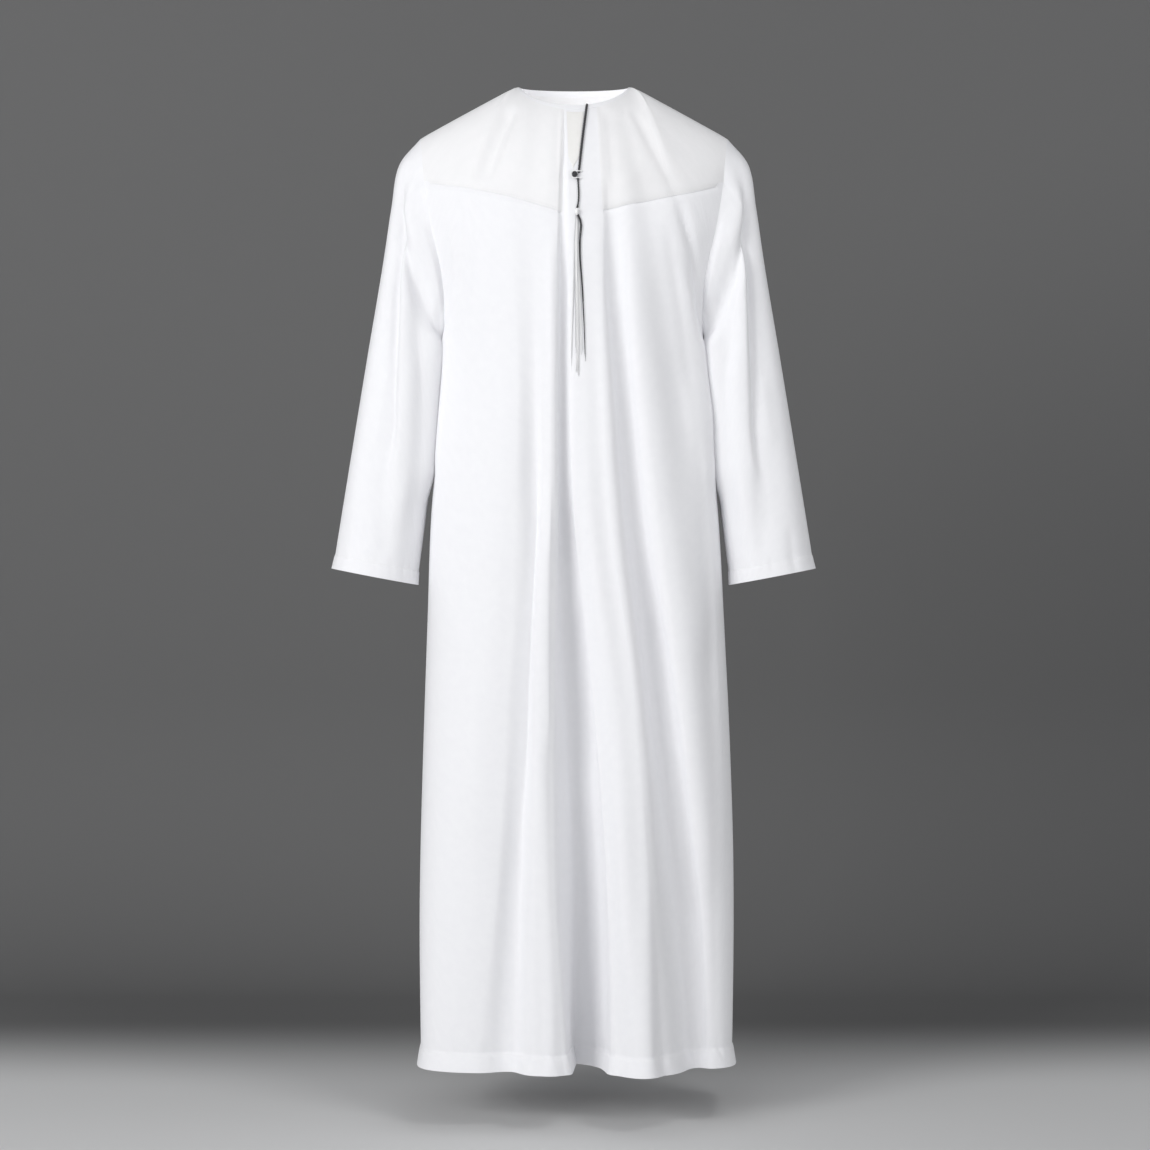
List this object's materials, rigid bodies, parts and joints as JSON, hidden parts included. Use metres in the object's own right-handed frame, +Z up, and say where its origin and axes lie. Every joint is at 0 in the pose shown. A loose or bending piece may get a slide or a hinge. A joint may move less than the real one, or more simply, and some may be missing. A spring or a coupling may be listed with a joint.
{
  "type": "ankle-length boubou robe",
  "caption": "White ankle-length robe with long straight sleeves, shoulder yoke, collarless slit neck, pointed placket and tassel, in its hollow worn form.",
  "frame": {"origin": "middle of the neck opening, at the height of the two neck points on the shoulders, where a wearer carries the robe", "axes": "+Z up along the robe's length, front towards -Y, the wearer's left sleeve towards +X"},
  "size_m": [0.7014, 0.2951, 1.426],
  "materials": {
    "white_cloth": "matt white poplin",
    "ivory_cloth": "matt off-white poplin, two layers",
    "white_thread": "white cotton thread",
    "dark_cord": "dark grey cord"
  },
  "bodies": {
    "root": {"front": "white_cloth", "back": "white_cloth", "yoke": "ivory_cloth", "sleeve_left": "white_cloth", "sleeve_right": "white_cloth", "neck_binding": "white_cloth", "placket": "ivory_cloth", "slit_piping": "dark_cord", "button_knot": "white_thread", "button_loop": "white_thread", "tassel_cord": "dark_cord", "tassel": "white_thread"}
  },
  "joints": []
}
